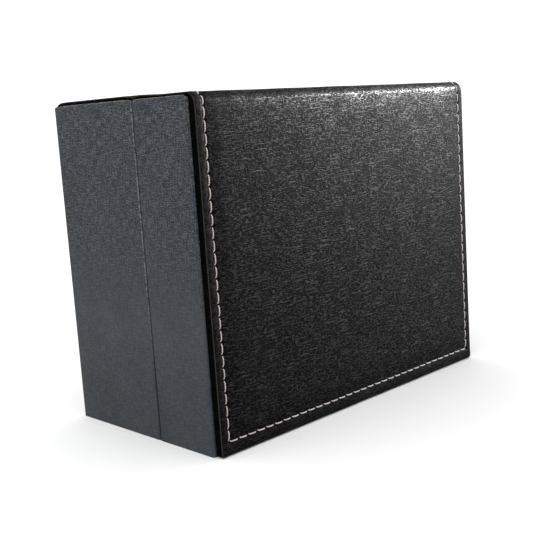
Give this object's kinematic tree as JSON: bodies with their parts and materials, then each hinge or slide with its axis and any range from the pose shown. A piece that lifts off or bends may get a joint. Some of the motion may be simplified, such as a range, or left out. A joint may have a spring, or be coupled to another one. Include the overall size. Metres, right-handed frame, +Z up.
{
  "type": "card deck box",
  "caption": "Hinged clamshell box for sleeved card decks, covered in black leather with a padded, edge-stitched front and charcoal side panels; a divided tray inside and a hidden magnetic closure.",
  "frame": {"origin": "on the floor plane z = 0, under the middle of the closed box standing on its closing edge", "axes": "+Z up towards the leather hinge and spine, +X across the box to the right of the stitched front, -Y out of the stitched front, +Y out of the back"},
  "size_m": [0.144, 0.0776, 0.1163],
  "materials": {
    "cover_leather": "black embossed cross-grain leatherette, semi-gloss",
    "side_leatherette": "charcoal blue-grey fine-grained leatherette, matt",
    "thread": "cream twisted sewing thread",
    "greyboard": "uncoated grey bookbinding board",
    "foam": "thin polyurethane foam sheet",
    "velvet": "black short-pile velvet over board",
    "lining_cloth": "black fine woven lining cloth",
    "magnet_steel": "nickel-plated magnet strip and steel plate"
  },
  "bodies": {
    "base": {"base_shell": "greyboard", "base_left_wrap": "side_leatherette", "base_right_wrap": "side_leatherette", "base_bottom_wrap": "side_leatherette", "rear_cover": "cover_leather", "rear_stitching": "thread", "rear_spine_foam": "foam", "base_hinge_lining": "lining_cloth", "card_tray": "velvet", "divider": "velvet", "well_pad_left": "velvet", "well_pad_right": "velvet", "base_magnet_left": "magnet_steel", "base_magnet_right": "magnet_steel"},
    "lid": {"lid_shell": "greyboard", "lid_left_wrap": "side_leatherette", "lid_right_wrap": "side_leatherette", "lid_bottom_wrap": "side_leatherette", "front_cover": "cover_leather", "front_stitching": "thread", "front_spine_foam": "foam", "lid_hinge_lining": "lining_cloth", "front_board": "greyboard", "front_foam": "foam", "lid_lining_panel": "velvet", "lid_wall_lining": "lining_cloth", "lid_plate_left": "magnet_steel", "lid_plate_right": "magnet_steel"}
  },
  "joints": [
    {"name": "lid_hinge", "type": "hinge", "parent": "base", "child": "lid", "pos_m": [0, -0.00825, 0.11585], "axis": [-1, 0, 0], "range_deg": [0, 165]}
  ]
}
